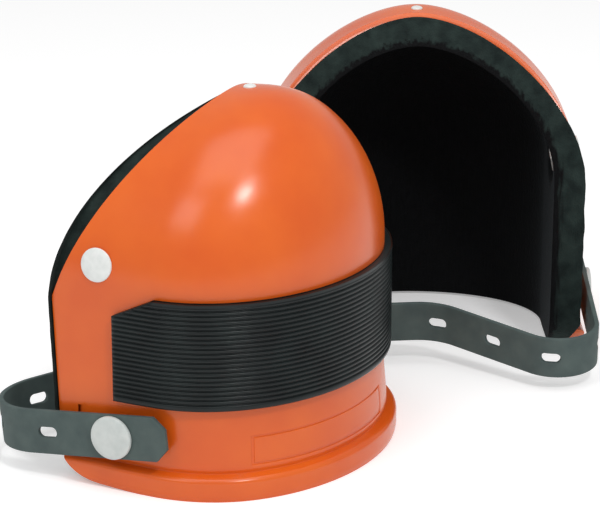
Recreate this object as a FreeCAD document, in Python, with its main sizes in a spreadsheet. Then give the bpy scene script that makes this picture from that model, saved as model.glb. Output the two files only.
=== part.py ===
import FreeCAD, Part
import math
import os
import Sketcher

# A pair of hard-shell knee pads. Each pad is an open cup that stands on its bottom rim: a moulded
# shell with a ribbed rubber tread round its front, a foam liner inside, and one punched rubber strap
# that turns on a stud at each flank.
#
# Each pad's own frame: the floor at Z 0, the front toward -Y, the wearer's left toward +X. The
# flanks run straight back from Y 0, and the nose in front of Y 0 is rounded. Millimetres, degrees.

V = FreeCAD.Vector
DOC = FreeCAD.newDocument("knee_pads")

SIZES = (
    # the shell: a rounded nose and straight flanks under a domed top
    ("shell_half_width", 89.0),
    ("nose_depth", 69.5),
    ("wing_length", 56.0),
    ("dome_base", 103.0),
    ("dome_rise", 84.0),
    ("wall", 3.0),
    # its slanted back edge, an arc from the kink up to the crown
    ("kink_height", 93.0),
    ("edge_top_forward", 2.0),
    ("edge_arc_radius", 385.0),
    ("rim_setback", 3.0),
    ("rim_corner_radius", 24.0),
    # its flared bottom rim
    ("rim_height", 12.5),
    ("rim_flare", 5.0),
    ("rim_step", 4.2),
    # the bare outline low on its front
    ("panel_aside", -24.9),
    ("panel_half_width", 45.6),
    ("panel_bottom", 16.5),
    ("panel_height", 14.5),
    ("panel_line", 0.9),
    ("panel_depth", 0.5),
    # the upright slot in each flank, behind the stud
    ("slot_behind_stud", 20.8),
    ("slot_width", 2.5),
    ("slot_height", 26.3),
    ("slot_bottom", 13.0),
    # the tread pad
    ("tread_thickness", 3.8),
    ("tread_seat", 0.15),
    ("tread_bottom", 45.5),
    ("tread_height", 53.3),
    ("tread_end", 21.3),
    ("tread_corner_run", 21.0),
    ("tread_corner_drop", 10.0),
    ("tread_border", 3.0),
    ("rib_pitch", 2.35),
    ("rib_gap", 0.95),
    ("rib_depth", 0.9),
    ("rib_count", 22.0),
    # the foam liner
    ("liner_seat", 0.2),
    ("liner_thickness", 12.0),
    ("liner_bottom", 1.5),
    ("liner_proud", 1.2),
    ("liner_kink_height", 92.0),
    ("liner_arc_radius", 117.0),
    # the rivets that hold the liner
    ("rivet_back", 31.0),
    ("rivet_height", 112.0),
    ("rivet_head_radius", 8.4),
    ("rivet_rim", 0.9),
    ("rivet_crown", 1.0),
    ("rivet_sink", 0.5),
    ("rivet_shank_radius", 2.0),
    ("rivet_washer_radius", 10.0),
    ("rivet_washer_thickness", 1.6),
    ("rivet_washer_sink", 2.2),
    ("crown_rivet_inset", 7.0),
    ("crown_rivet_head_radius", 3.2),
    ("crown_rivet_washer_radius", 5.0),
    # the studs that carry the strap
    ("stud_back", 19.5),
    ("stud_height", 28.7),
    ("stud_head_radius", 11.0),
    ("stud_rim", 2.0),
    ("stud_crown", 0.9),
    ("stud_post_radius", 2.7),
    ("stud_shoulder_radius", 6.0),
    ("stud_standoff", 5.0),
    ("stud_tail_radius", 2.2),
    ("stud_washer_radius", 8.0),
    ("stud_washer_thickness", 1.5),
    ("clinch_height", 0.8),
    ("clinch_spread", 1.4),
    # clearances
    ("running_clearance", 0.08),
    ("strap_side_clearance", 0.15),
    ("fixed_clearance", 0.05),
    ("recess_clearance", 0.4),
    # the strap
    ("strap_width", 22.5),
    ("strap_thickness", 2.6),
    ("strap_tab", 29.5),
    ("strap_corner_cut", 6.2),
    ("strap_hole_count", 10.0),
    ("strap_hole_pitch", 36.9),
    ("strap_hole_length", 10.5),
    ("strap_hole_width", 5.5),
    ("strap_droop", 6.0),
    ("strap_middle_bend", 30.0),
    # how each strap is buttoned, and how it lies: its bend behind each flank, and how far its
    # run from there to the middle slants forward
    ("front_holes_between_studs", 8.0),
    ("front_left_bend", 30.0),
    ("front_left_slant", 30.0),
    ("front_right_bend", 30.0),
    ("front_right_slant", 30.0),
    ("rear_holes_between_studs", 8.0),
    ("rear_left_bend", 27.5),
    ("rear_left_slant", 5.0),
    ("rear_right_bend", 22.0),
    ("rear_right_slant", 41.0),
    # where the rear pad stands, seen from the front pad
    ("rear_aside", 200.0),
    ("rear_behind", -9.0),
    ("rear_turn", 116.0),
)


class Size:
    """A length or an angle: its number, and the same thing as an expression on the sheet."""

    def __init__(self, number, text):
        self.number = number
        self.text = text

    def _join(self, other, sign, number):
        text = other.text if isinstance(other, Size) else repr(other)
        return Size(number, "(" + self.text + " " + sign + " " + text + ")")

    def __add__(self, other):
        return self._join(other, "+", self.number + plain(other))

    def __sub__(self, other):
        return self._join(other, "-", self.number - plain(other))

    def __mul__(self, other):
        return self._join(other, "*", self.number * plain(other))

    def __truediv__(self, other):
        return self._join(other, "/", self.number / plain(other))


def plain(value):
    return value.number if isinstance(value, Size) else value


def make_sheet():
    sheet = DOC.addObject("Spreadsheet::Sheet", "sizes")
    table = {}
    for row, (name, number) in enumerate(SIZES, 1):
        sheet.set("A%d" % row, name)
        sheet.set("B%d" % row, str(number))
        sheet.setAlias("B%d" % row, name)
        table[name] = Size(number, "sizes." + name)
    DOC.recompute()
    return table


S = make_sheet()
N = {name: size.number for name, size in S.items()}


# ---- sketches and features -------------------------------------------------------------------

def bind(thing, prop, size):
    """Sets a property from a size and ties it to the sheet."""
    setattr(thing, prop, size.number)
    thing.setExpression(prop, size.text)


def new_body(name):
    body = DOC.addObject("PartDesign::Body", name)
    body.Label = name
    return body


def origin_part(body, role):
    for feature in body.Origin.OriginFeatures:
        if feature.Role == role:
            return feature


def attach(feature, body, role, lift=None):
    """Puts a sketch or a primitive on a body's origin plane, lift above it."""
    feature.AttachmentSupport = [(origin_part(body, role), "")]
    feature.MapMode = "FlatFace"
    if lift is not None:
        feature.AttachmentOffset = FreeCAD.Placement(V(0, 0, lift.number), FreeCAD.Rotation())
        feature.setExpression("AttachmentOffset.Base.z", lift.text)


def new_sketch(body, name, role, lift=None):
    sketch = body.newObject("Sketcher::SketchObject", body.Name + "_" + name)
    attach(sketch, body, role, lift)
    return sketch


def hold(sketch, kind, *args):
    """Adds a constraint. A Size at the end sets its value and ties it to the sheet."""
    if not isinstance(args[-1], Size):
        return sketch.addConstraint(Sketcher.Constraint(kind, *args))
    size = args[-1]
    index = sketch.addConstraint(Sketcher.Constraint(kind, *args[:-1], size.number))
    sketch.setExpression("Constraints[%d]" % index, size.text)
    return index


def rounded_end(sketch, half_width, reach, seat, base, side):
    """A closed outline: a half ellipse that reaches out from the level seat, on the side +1 (up)
    or -1 (down), and straight sides from there to a line at the level base. Where seat and base
    are the same, the line closes the half ellipse itself."""
    wide = half_width.number >= reach.number
    centre = V(0, plain(seat), 0)
    along = V(half_width.number, 0, 0) if wide else V(0, reach.number, 0)
    across = V(0, reach.number, 0) if wide else V(-half_width.number, 0, 0)
    ellipse = Part.Ellipse(centre + along, centre + across, centre)
    start = 0.0 if wide else -math.pi / 2
    if side < 0:
        start += math.pi
    arc = sketch.addGeometry(Part.ArcOfEllipse(ellipse, start, start + math.pi), False)
    sketch.exposeInternalGeometry(arc)
    long_axis = arc + 1
    short_axis = arc + 2
    flat_axis = long_axis if wide else short_axis
    tall_axis = short_axis if wide else long_axis
    hold(sketch, "Horizontal", flat_axis)
    hold(sketch, "Distance", flat_axis, half_width * 2)
    hold(sketch, "Distance", tall_axis, reach * 2)
    hold(sketch, "PointOnObject", arc, 3, -2)
    if isinstance(seat, Size):
        hold(sketch, "DistanceY", -1, 1, arc, 3, seat)
    else:
        hold(sketch, "PointOnObject", arc, 3, -1)
    hold(sketch, "Horizontal", arc, 1, arc, 3)
    hold(sketch, "Horizontal", arc, 2, arc, 3)
    curve = sketch.Geometry[arc]
    first = curve.StartPoint
    last = curve.EndPoint
    if base is seat:
        line = sketch.addGeometry(Part.LineSegment(last, first), False)
        hold(sketch, "Coincident", arc, 2, line, 1)
        hold(sketch, "Coincident", line, 2, arc, 1)
        return
    low_last = V(last.x, plain(base), 0)
    low_first = V(first.x, plain(base), 0)
    down = sketch.addGeometry(Part.LineSegment(last, low_last), False)
    flat = sketch.addGeometry(Part.LineSegment(low_last, low_first), False)
    rise = sketch.addGeometry(Part.LineSegment(low_first, first), False)
    hold(sketch, "Coincident", arc, 2, down, 1)
    hold(sketch, "Coincident", down, 2, flat, 1)
    hold(sketch, "Coincident", flat, 2, rise, 1)
    hold(sketch, "Coincident", rise, 2, arc, 1)
    hold(sketch, "Vertical", down)
    hold(sketch, "Vertical", rise)
    hold(sketch, "Horizontal", flat)
    hold(sketch, "DistanceY", -1, 1, down, 2, base)


def plan_outline(sketch, offset):
    """The pad's outline seen from above, moved outward by the offset."""
    rounded_end(sketch, S["shell_half_width"] + offset, S["nose_depth"] + offset,
                0, S["wing_length"] + S["liner_proud"], -1)


def add_prism(body, kind, name, sketch, length, reverse=False):
    """A pad or a pocket of a sketch."""
    feature = body.newObject("PartDesign::" + kind, body.Name + "_" + name)
    feature.Profile = sketch
    bind(feature, "Length", length)
    feature.Reversed = reverse
    DOC.recompute()
    return feature


def punch(body, sketch, length):
    """A pocket to both sides of its sketch."""
    feature = body.newObject("PartDesign::Pocket", sketch.Name + "_punch")
    feature.Profile = sketch
    feature.Midplane = True
    bind(feature, "Length", length)
    before = body.Shape.Volume
    DOC.recompute()
    if not body.Shape.Volume < before:
        raise RuntimeError(sketch.Name + " cuts nothing")


def cut_across(body, name, sketch):
    """A pocket from a side-view sketch, right through both flanks."""
    feature = body.newObject("PartDesign::Pocket", body.Name + "_" + name)
    feature.Profile = sketch
    feature.Type = 1
    feature.Midplane = True
    before = body.Shape.Volume
    DOC.recompute()
    if not body.Shape.Volume < before:
        raise RuntimeError(name + " cuts nothing")
    return feature


def add_cup(body, name, offset, floor, solid):
    """Adds, or takes away, the whole volume inside the pad's outer surface moved by the offset:
    upright walls from the level floor to the dome's base, the arched top of the wings, and a
    quarter of an ellipsoid over the nose."""
    rise = S["dome_rise"] + offset
    prism = "Pad" if solid else "Pocket"
    plan = new_sketch(body, name + "_plan", "XY_Plane", floor)
    plan_outline(plan, offset)
    add_prism(body, prism, name + "_walls", plan, S["dome_base"] - floor, not solid)
    arch = new_sketch(body, name + "_arch", "XZ_Plane")
    rounded_end(arch, S["shell_half_width"] + offset, rise, S["dome_base"], S["dome_base"], 1)
    length = S["wing_length"] + S["liner_proud"]
    add_prism(body, prism, name + "_wing_top", arch, length, solid)
    kind = "PartDesign::AdditiveEllipsoid" if solid else "PartDesign::SubtractiveEllipsoid"
    nose = body.newObject(kind, body.Name + "_" + name + "_nose")
    attach(nose, body, "XY_Plane", S["dome_base"])
    nose.AttachmentOffset = FreeCAD.Placement(nose.AttachmentOffset.Base, FreeCAD.Rotation(180, 0, 0))
    bind(nose, "Radius1", rise)
    bind(nose, "Radius2", S["shell_half_width"] + offset)
    bind(nose, "Radius3", S["nose_depth"] + offset)
    nose.Angle1 = 0
    nose.Angle2 = 90
    nose.Angle3 = 180
    DOC.recompute()


def cosine(angle):
    return Size(math.cos(math.radians(angle.number)), "cos(" + angle.text + " * 1 deg)")


def sine(angle):
    return Size(math.sin(math.radians(angle.number)), "sin(" + angle.text + " * 1 deg)")


def radians(angle):
    return angle * math.pi / 180


ZERO = Size(0.0, "0")


def closed_outline(sketch, points, arcs=()):
    """A closed outline through points, each a pair of Sizes. Side i, from point i to the next, is
    an arc where arcs holds (i, radius, bulge): it bulges to the right of the way where bulge is 1,
    and to the left where it is -1."""
    bends = {i: (radius, bulge) for i, radius, bulge in arcs}
    count = len(points)
    sides = []
    starts = []
    for i in range(count):
        first = V(points[i][0].number, points[i][1].number, 0)
        last = V(points[(i + 1) % count][0].number, points[(i + 1) % count][1].number, 0)
        start = 1
        curve = Part.LineSegment(first, last)
        if i in bends:
            radius, bulge = bends[i]
            if bulge < 0:
                first, last = last, first
                start = 2
            chord = last - first
            drop = math.sqrt(radius.number ** 2 - (chord.Length / 2) ** 2)
            centre = first + chord * 0.5 + V(-chord.y, chord.x, 0).normalize() * drop
            begin = math.atan2(first.y - centre.y, first.x - centre.x)
            end = math.atan2(last.y - centre.y, last.x - centre.x)
            curve = Part.ArcOfCircle(Part.Circle(centre, V(0, 0, 1), radius.number), begin, end)
        sides.append(sketch.addGeometry(curve, False))
        starts.append(start)
    for i in range(count):
        after = (i + 1) % count
        hold(sketch, "Coincident", sides[i], 3 - starts[i], sides[after], starts[after])
        for kind, size in (("DistanceX", points[i][0]), ("DistanceY", points[i][1])):
            if size.number == 0:
                hold(sketch, "PointOnObject", sides[i], starts[i], -2 if kind == "DistanceX" else -1)
            else:
                hold(sketch, kind, -1, 1, sides[i], starts[i], size)
        if i in bends:
            hold(sketch, "Radius", sides[i], bends[i][0])


def turned_body(name, points, crown=None):
    """A turned piece: the profile's points are (radius, height), and where crown is i, side i is
    an arc whose centre lies on the axis."""
    body = new_body(name)
    sketch = new_sketch(body, "profile", "XZ_Plane")
    arcs = ()
    if crown is not None:
        outer = points[crown]
        rise = points[crown + 1][1] - outer[1]
        arcs = ((crown, (outer[0] * outer[0] / rise + rise) / 2, 1),)
    closed_outline(sketch, points, arcs)
    turn = body.newObject("PartDesign::Revolution", name + "_turn")
    turn.Profile = sketch
    turn.ReferenceAxis = (sketch, ["V_Axis"])
    turn.Angle = 360
    DOC.recompute()
    return body


def ring_body(name, outer, inner, height):
    """A flat washer that stands on its own XY plane."""
    body = new_body(name)
    sketch = new_sketch(body, "rings", "XY_Plane")
    for radius in (outer, inner):
        circle = sketch.addGeometry(Part.Circle(V(0, 0, 0), V(0, 0, 1), radius.number), False)
        hold(sketch, "Coincident", circle, 3, -1, 1)
        hold(sketch, "Radius", circle, radius)
    add_prism(body, "Pad", "disc", sketch, height)
    return body


def bore(body, name, where, radius, low, high):
    """A round hole along the axis of the placement, from the height low to high."""
    tool = body.newObject("PartDesign::SubtractiveCylinder", body.Name + "_" + name)
    attach(tool, body, "XY_Plane")
    tool.AttachmentOffset = where * FreeCAD.Placement(V(0, 0, low.number), FreeCAD.Rotation())
    bind(tool, "Radius", radius)
    bind(tool, "Height", high - low)
    before = body.Shape.Volume
    DOC.recompute()
    if not body.Shape.Volume < before:
        raise RuntimeError(name + " cuts nothing")


# ---- places on the pad -----------------------------------------------------------------------

def facing(point, outward):
    """A placement at the point with its Z axis outward."""
    return FreeCAD.Placement(point, FreeCAD.Rotation(V(0, 0, 1), outward))


def stud_place(side):
    """The shell's outer face at a stud, side +1 for the wearer's left and -1 for the right."""
    point = V(side * N["shell_half_width"], N["stud_back"], N["stud_height"])
    return facing(point, V(side, 0, 0))


def side_rivet_place(side):
    """The arched top's outer face at a side rivet."""
    up = (N["rivet_height"] - N["dome_base"]) / N["dome_rise"]
    across = math.sqrt(1 - up * up)
    point = V(side * N["shell_half_width"] * across, N["rivet_back"], N["rivet_height"])
    return facing(point, V(side * across / N["shell_half_width"], 0, up / N["dome_rise"]))


def crown_rivet_place():
    """The nose's outer face at the small rivet behind the crown."""
    forward = (N["edge_top_forward"] + N["crown_rivet_inset"]) / N["nose_depth"]
    up = math.sqrt(1 - forward * forward)
    point = V(0, -forward * N["nose_depth"], N["dome_base"] + up * N["dome_rise"])
    return facing(point, V(0, -forward / N["nose_depth"], up / N["dome_rise"]))


RIVETS = (
    ("left", side_rivet_place(1), "rivet_head_radius", "rivet_washer_radius"),
    ("right", side_rivet_place(-1), "rivet_head_radius", "rivet_washer_radius"),
    ("top", crown_rivet_place(), "crown_rivet_head_radius", "crown_rivet_washer_radius"),
)
SIDES = (("left", 1), ("right", -1))

LINER_OUTSIDE = S["wall"] + S["liner_seat"]
LINER_INSIDE = LINER_OUTSIDE + S["liner_thickness"]
WASHER_FLOOR = LINER_INSIDE - S["rivet_washer_sink"]
STRAP_FACE = S["stud_standoff"] + S["strap_side_clearance"]
STUD_HEAD = STRAP_FACE + S["strap_thickness"] + S["strap_side_clearance"]


# ---- the pieces ------------------------------------------------------------------------------

def cut_behind(body, foot, kink, kink_height, radius, foot_radius):
    """Cuts away what lies behind the slanted back edge. Seen from the side, the edge goes round
    the foot and up to the kink, then follows an arc, bulging back, to the crown."""
    top = S["dome_base"] + S["dome_rise"]
    far = S["wing_length"] + S["nose_depth"]
    over = top + S["rim_height"]
    under = ZERO - S["rim_height"]
    crown = ZERO - S["edge_top_forward"]
    heel = foot - foot_radius
    points = [(heel, under), (heel, ZERO), (foot, foot_radius), (kink, kink_height)]
    arcs = ((1, foot_radius, 1), (3, radius, 1))
    points += [(crown, top), (crown, over), (far, over), (far, under)]
    sketch = new_sketch(body, "back_edge", "YZ_Plane")
    closed_outline(sketch, points, arcs)
    cut_across(body, "behind", sketch)


def rim_band(body):
    """The flared rim: a band round the foot that widens from its step down to the floor."""
    low = new_sketch(body, "rim_foot", "XY_Plane", ZERO)
    plan_outline(low, S["rim_flare"])
    high = new_sketch(body, "rim_top", "XY_Plane", S["rim_height"])
    plan_outline(high, S["rim_step"])
    band = body.newObject("PartDesign::AdditiveLoft", body.Name + "_rim")
    band.Profile = low
    band.Sections = [high]
    band.Ruled = True
    DOC.recompute()


def panel_groove(name):
    """The engraving tool for the bare outline: a frame that reaches in from the front, less the
    part of the nose that stays below the groove."""
    frame = new_body(name + "_frame")
    sketch = new_sketch(frame, "outline", "XZ_Plane")
    for inset in (ZERO, S["panel_line"]):
        right = S["panel_aside"] + S["panel_half_width"] - inset
        left = S["panel_aside"] - S["panel_half_width"] + inset
        low = S["panel_bottom"] + inset
        high = S["panel_bottom"] + S["panel_height"] - inset
        closed_outline(sketch, [(left, low), (right, low), (right, high), (left, high)])
    add_prism(frame, "Pad", "reach", sketch, S["nose_depth"] * 2)
    core = new_body(name + "_core")
    plan = new_sketch(core, "plan", "XY_Plane", ZERO)
    plan_outline(plan, ZERO - S["panel_depth"])
    add_prism(core, "Pad", "walls", plan, S["dome_base"])
    groove = DOC.addObject("Part::Cut", name + "_groove")
    groove.Base = frame
    groove.Tool = core
    return groove


def make_shell(pad):
    name = pad + "_shell"
    body = new_body(name + "_body")
    add_cup(body, "outside", ZERO, ZERO, True)
    rim_band(body)
    add_cup(body, "inside", ZERO - S["wall"], ZERO, False)
    cut_behind(body, S["wing_length"] - S["rim_setback"], S["wing_length"], S["kink_height"],
               S["edge_arc_radius"], S["rim_corner_radius"])
    back = S["stud_back"] + S["slot_behind_stud"]
    high = S["slot_bottom"] + S["slot_height"]
    slots = new_sketch(body, "flank_slots", "YZ_Plane")
    closed_outline(slots, [(back, S["slot_bottom"]), (back + S["slot_width"], S["slot_bottom"]),
                           (back + S["slot_width"], high), (back, high)])
    cut_across(body, "slots", slots)
    for side_name, side in SIDES:
        bore(body, side_name + "_stud_hole", stud_place(side),
             S["stud_tail_radius"] + S["fixed_clearance"], ZERO - S["wall"] * 2, S["wall"])
    for spot, place, head, _ in RIVETS:
        bore(body, spot + "_rivet_hole", place,
             S["rivet_shank_radius"] + S["fixed_clearance"], ZERO - S["wall"] * 2, S["wall"])
        bore(body, spot + "_rivet_seat", place,
             S[head] + S["recess_clearance"], ZERO - S["rivet_sink"], S["wall"])
    shell = DOC.addObject("Part::Cut", name)
    shell.Base = body
    shell.Tool = panel_groove(name + "_panel")
    return shell


def make_tread_pad(pad):
    """A rubber strip round the nose, with level ribs between square grooves."""
    body = new_body(pad + "_tread_pad")
    outside = S["tread_seat"] + S["tread_thickness"]
    top = S["tread_bottom"] + S["tread_height"]
    block = new_sketch(body, "block", "XY_Plane", S["tread_bottom"])
    plan_outline(block, outside)
    add_prism(body, "Pad", "strip", block, S["tread_height"])
    hollow = new_sketch(body, "hollow", "XY_Plane", S["tread_bottom"])
    plan_outline(hollow, S["tread_seat"])
    add_prism(body, "Pocket", "seat", hollow, S["tread_height"], True)
    ends = new_sketch(body, "ends", "YZ_Plane")
    far = S["wing_length"] * 2
    closed_outline(ends, [
        (S["tread_end"], S["tread_bottom"] - S["tread_border"]),
        (far, S["tread_bottom"] - S["tread_border"]),
        (far, top + S["tread_border"]),
        (S["tread_end"] - S["tread_corner_run"], top + S["tread_border"]),
        (S["tread_end"] - S["tread_corner_run"], top),
        (S["tread_end"], top - S["tread_corner_drop"]),
    ])
    cut_across(body, "ends_off", ends)
    groove_foot = S["tread_bottom"] + S["tread_border"]
    ring = new_sketch(body, "groove", "XY_Plane", groove_foot)
    plan_outline(ring, outside - S["rib_depth"])
    reach = outside * 3
    rounded_end(ring, S["shell_half_width"] + reach, S["nose_depth"] + reach, 0, far, -1)
    groove = add_prism(body, "Pocket", "first_groove", ring, S["rib_gap"], True)
    rows = body.newObject("PartDesign::LinearPattern", body.Name + "_grooves")
    rows.Originals = [groove]
    rows.Direction = (origin_part(body, "Z_Axis"), [""])
    rows.Mode = "Spacing"
    bind(rows, "Offset", S["rib_pitch"])
    rows.Occurrences = int(S["rib_count"].number)
    rows.setExpression("Occurrences", S["rib_count"].text)
    body.Tip = rows
    DOC.recompute()
    return body


def make_foam_liner(pad):
    """A thick foam lining, a little proud of the shell's back edge."""
    body = new_body(pad + "_foam_liner")
    add_cup(body, "outside", ZERO - LINER_OUTSIDE, S["liner_bottom"], True)
    add_cup(body, "inside", ZERO - LINER_INSIDE, S["liner_bottom"], False)
    kink = S["wing_length"] + S["liner_proud"]
    cut_behind(body, kink - S["rim_setback"], kink, S["liner_kink_height"],
               S["liner_arc_radius"], S["rim_corner_radius"])
    for side_name, side in SIDES:
        tail = S["wall"] + S["stud_washer_thickness"] + S["clinch_height"]
        bore(body, side_name + "_stud_room", stud_place(side),
             S["stud_washer_radius"] + S["recess_clearance"],
             ZERO - tail - S["recess_clearance"], ZERO)
    for spot, place, _, washer in RIVETS:
        bore(body, spot + "_rivet_hole", place,
             S["rivet_shank_radius"] + S["fixed_clearance"], ZERO - LINER_INSIDE * 2, ZERO)
        bore(body, spot + "_washer_seat", place,
             S[washer] + S["recess_clearance"], ZERO - LINER_INSIDE * 2, ZERO - WASHER_FLOOR)
    return body


def make_rivet(pad, spot, head):
    """A one-piece rivet: a low domed head, a shank through shell and foam, a clinched end."""
    seat = ZERO - S["rivet_sink"]
    rim = seat + S["rivet_rim"]
    washer_face = ZERO - WASHER_FLOOR - S["rivet_washer_thickness"]
    tail = washer_face - S["clinch_height"]
    shank = S["rivet_shank_radius"]
    spread = shank + S["clinch_spread"]
    return turned_body(pad + "_rivet_" + spot, [
        (ZERO, tail), (spread - S["clinch_height"] / 2, tail), (spread, washer_face),
        (shank, washer_face), (shank, seat), (S[head], seat), (S[head], rim),
        (ZERO, rim + S["rivet_crown"])], 6)


def make_stud(pad, side_name):
    """A strap stud: a round head, the post the strap turns on, a shoulder against the shell, and
    a tail clinched over the washer inside."""
    post = S["stud_post_radius"]
    shoulder = S["stud_shoulder_radius"]
    tail = S["stud_tail_radius"]
    spread = tail + S["clinch_spread"]
    washer_face = ZERO - S["wall"] - S["stud_washer_thickness"]
    rim = STUD_HEAD + S["stud_rim"]
    return turned_body(pad + "_stud_" + side_name, [
        (ZERO, washer_face - S["clinch_height"]),
        (spread - S["clinch_height"] / 2, washer_face - S["clinch_height"]),
        (spread, washer_face), (tail, washer_face), (tail, ZERO), (shoulder, ZERO),
        (shoulder, S["stud_standoff"]), (post, S["stud_standoff"]), (post, STUD_HEAD),
        (S["stud_head_radius"], STUD_HEAD), (S["stud_head_radius"], rim),
        (ZERO, rim + S["stud_crown"])], 10)


class StrapSide:
    """The way of a strap's centre line on one side: back from the stud along a run, round a bend,
    along a slope that slants forward, and round half of the bend in the middle."""

    def __init__(self, pad, side_name):
        self.bend = S[pad + "_" + side_name + "_bend"]
        self.slant = S[pad + "_" + side_name + "_slant"]
        self.middle = S["strap_middle_bend"]
        self.aside = S["shell_half_width"] + STRAP_FACE + S["strap_thickness"] / 2
        across = self.aside - self.bend - (self.bend + self.middle) * sine(self.slant)
        self.slope = across / cosine(self.slant)
        turned = self.bend * radians(self.slant + 90.0) + self.middle * radians(self.slant)
        self.beyond_run = turned + self.slope
        self.depth = (self.bend + self.middle) * cosine(self.slant) - self.slope * sine(self.slant)

    def edge(self, offset, side):
        """The corners of one edge of the strap, the offset outward from its centre line."""
        big = self.bend + offset
        small = self.middle - offset
        x = self.aside + offset
        return [
            (x * side, ZERO - self.tab),
            (x * side, self.run),
            ((self.aside - self.bend - big * sine(self.slant)) * side,
             self.run + big * cosine(self.slant)),
            (small * sine(self.slant) * side, self.tip - small * cosine(self.slant)),
        ]

    def point(self, distance):
        """The point at a distance from the strap's foremost place, and the direction there."""
        bend = self.bend.number
        middle = self.middle.number
        turn = math.radians(self.slant.number)
        if distance < middle * turn:
            angle = distance / middle
            where = V(middle * math.sin(angle), self.tip.number - middle * math.cos(angle), 0)
            return where, V(math.cos(angle), math.sin(angle), 0)
        distance -= middle * turn
        if distance < self.slope.number:
            start = V(middle * math.sin(turn), self.tip.number - middle * math.cos(turn), 0)
            way = V(math.cos(turn), math.sin(turn), 0)
            return start + way * distance, way
        distance -= self.slope.number
        if distance < bend * (turn + math.pi / 2):
            angle = turn + math.pi / 2 - distance / bend
            centre = V(self.aside.number - bend, self.run.number, 0)
            return centre + V(math.cos(angle), math.sin(angle), 0) * bend, \
                V(math.sin(angle), -math.cos(angle), 0)
        distance -= bend * (turn + math.pi / 2)
        return V(self.aside.number, self.run.number - distance, 0), V(0, -1, 0)


def strap_sides(pad):
    """Both sides of a strap. The runs share out the length between the studs so that the two
    sides meet in the middle, and the left tab has the holes that aren't used."""
    left = StrapSide(pad, "left")
    right = StrapSide(pad, "right")
    between = S[pad + "_holes_between_studs"] + 1.0
    length_between = S["strap_hole_pitch"] * between
    spare = S["strap_hole_count"] - 1.0 - between
    lead = right.depth - left.depth
    right.run = (length_between - right.beyond_run - left.beyond_run - lead) / 2
    left.run = right.run + lead
    right.tab = S["strap_tab"]
    left.tab = S["strap_tab"] + S["strap_hole_pitch"] * spare
    for side in (left, right):
        side.tip = side.run + side.depth
        side.half_length = side.run + side.beyond_run
    return left, right


def hole_place(way_side, distance, side):
    """The strap's middle surface, the distance from its foremost place, with Z across it."""
    where, way = way_side.point(distance)
    where = V(where.x * side, where.y, 0)
    way = V(way.x * side, way.y, 0)
    up = V(0, 0, 1)
    return FreeCAD.Placement(where, FreeCAD.Rotation(way, up, way.cross(up), "ZXY"))


def strap_hole(body, name, place):
    """A punched hole with round ends, its length along the strap."""
    sketch = new_sketch(body, name, "XY_Plane")
    sketch.AttachmentOffset = place
    radius = S["strap_hole_width"] / 2
    half = S["strap_hole_length"] / 2 - radius
    r = radius.number
    h = half.number
    quarter = math.pi / 2
    right = sketch.addGeometry(
        Part.ArcOfCircle(Part.Circle(V(h, 0, 0), V(0, 0, 1), r), -quarter, quarter), False)
    left = sketch.addGeometry(
        Part.ArcOfCircle(Part.Circle(V(-h, 0, 0), V(0, 0, 1), r), quarter, 3 * quarter), False)
    upper = sketch.addGeometry(Part.LineSegment(V(h, r, 0), V(-h, r, 0)), False)
    lower = sketch.addGeometry(Part.LineSegment(V(-h, -r, 0), V(h, -r, 0)), False)
    hold(sketch, "Tangent", right, 2, upper, 1)
    hold(sketch, "Tangent", upper, 2, left, 1)
    hold(sketch, "Tangent", left, 2, lower, 1)
    hold(sketch, "Tangent", lower, 2, right, 1)
    hold(sketch, "PointOnObject", right, 3, -1)
    hold(sketch, "DistanceX", left, 3, right, 3, half * 2)
    hold(sketch, "Symmetric", left, 3, right, 3, -1, 1)
    hold(sketch, "Radius", right, radius)
    hold(sketch, "Equal", right, left)
    punch(body, sketch, S["strap_thickness"] * 4)


def make_strap(pad):
    """A punched rubber strap on edge: its origin is on the axis of the two studs."""
    body = new_body(pad + "_strap")
    left, right = strap_sides(pad)
    half = S["strap_thickness"] / 2
    outer = left.edge(half, 1) + right.edge(half, -1)[::-1]
    inner = right.edge(ZERO - half, -1) + left.edge(ZERO - half, 1)[::-1]
    middle = S["strap_middle_bend"]
    arcs = (
        (1, left.bend + half, 1), (3, middle - half, -1), (5, right.bend + half, 1),
        (9, right.bend - half, -1), (11, middle + half, 1), (13, left.bend - half, -1),
    )
    band = new_sketch(body, "path", "XY_Plane", ZERO - S["strap_width"] / 2)
    closed_outline(band, outer + inner, arcs)
    add_prism(body, "Pad", "band", band, S["strap_width"])
    stud_hole = S["stud_post_radius"] + S["running_clearance"]
    for side_name, side, way_side in (("left", 1, left), ("right", -1, right)):
        place = FreeCAD.Placement(V(way_side.aside.number * side, 0, 0),
                                  FreeCAD.Rotation(V(0, 0, 1), V(side, 0, 0)))
        bore(body, side_name + "_stud_hole", place, stud_hole,
             ZERO - S["strap_thickness"], S["strap_thickness"])
        cut_corners(body, side_name, side, way_side.tab, place.Base)
    for index in range(1, int(N["strap_hole_count"])):
        distance = index * N["strap_hole_pitch"]
        if index == int(N[pad + "_holes_between_studs"]) + 1:
            continue
        if distance < right.half_length.number:
            place = hole_place(right, right.half_length.number - distance, -1)
        else:
            place = hole_place(left, distance - right.half_length.number, 1)
        strap_hole(body, "hole_%d" % index, place)
    axis = V(0, N["stud_back"], N["stud_height"])
    body.Placement = FreeCAD.Placement(axis, FreeCAD.Rotation(V(1, 0, 0), -N["strap_droop"]))
    return body


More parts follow.
